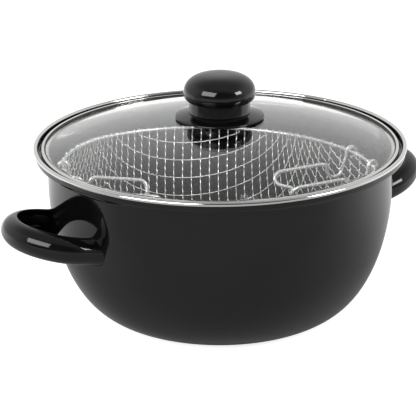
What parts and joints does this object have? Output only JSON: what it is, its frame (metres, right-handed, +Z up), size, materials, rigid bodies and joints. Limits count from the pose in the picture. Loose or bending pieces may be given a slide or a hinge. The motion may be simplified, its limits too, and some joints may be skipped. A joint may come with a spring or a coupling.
{
  "type": "deep fryer",
  "caption": "Stove-top deep fryer: black enamelled pot with side loop handles, lift-out wire mesh basket with folding handles, and domed glass lid with a mushroom knob.",
  "frame": {"origin": "centre of the pot's flat base, on the surface it stands on", "axes": "+Z up through the knob; X runs through the pot's two side handles; Y is across them"},
  "size_m": [0.3526, 0.28, 0.1817],
  "materials": {
    "enamel": "glossy black vitreous enamel",
    "steel_band": "polished stainless steel strip",
    "wire": "bright tinned steel wire",
    "lid_glass": "clear tempered glass",
    "seal": "black heat-proof strip",
    "knob": "polished black phenolic moulding",
    "insert": "turned brass",
    "gasket": "grey silicone",
    "screw_steel": "plated steel"
  },
  "bodies": {
    "pot": {"pot_shell": "enamel", "rim_band": "steel_band", "left_handle": "enamel", "right_handle": "enamel"},
    "basket": {"basket_mesh": "wire", "basket_ring": "wire"},
    "left_grip": {"left_basket_handle": "wire"},
    "right_grip": {"right_basket_handle": "wire"},
    "lid": {"lid_glass": "lid_glass", "lid_band": "steel_band", "lid_seal": "seal", "knob_head": "knob", "knob_insert": "insert", "knob_disc": "knob", "upper_gasket": "gasket", "lower_gasket": "gasket", "knob_washer": "screw_steel", "knob_screw": "screw_steel"}
  },
  "joints": [
    {"name": "basket_lift", "type": "slide", "parent": "pot", "child": "basket", "axis": [0, 0, 1], "range_m": [0, 0.14]},
    {"name": "lid_lift", "type": "slide", "parent": "basket", "child": "lid", "axis": [0, 0, 1], "range_m": [0, 0.2]},
    {"name": "right_grip_swing", "type": "hinge", "parent": "basket", "child": "right_grip", "pos_m": [0.11332, -0.02416, 0.10112], "axis": [0.2072, 0.978, -0.0239], "range_deg": [0, 130]},
    {"name": "left_grip_swing", "type": "hinge", "parent": "basket", "child": "left_grip", "pos_m": [-0.11332, 0.02416, 0.11328], "axis": [-0.2072, -0.978, 0.0239], "range_deg": [0, 130]}
  ],
  "couplings": [
    {"joint": "right_grip_swing", "follows": "lid_lift", "rad_per_m": 11.3},
    {"joint": "left_grip_swing", "follows": "lid_lift", "rad_per_m": 11.3}
  ]
}
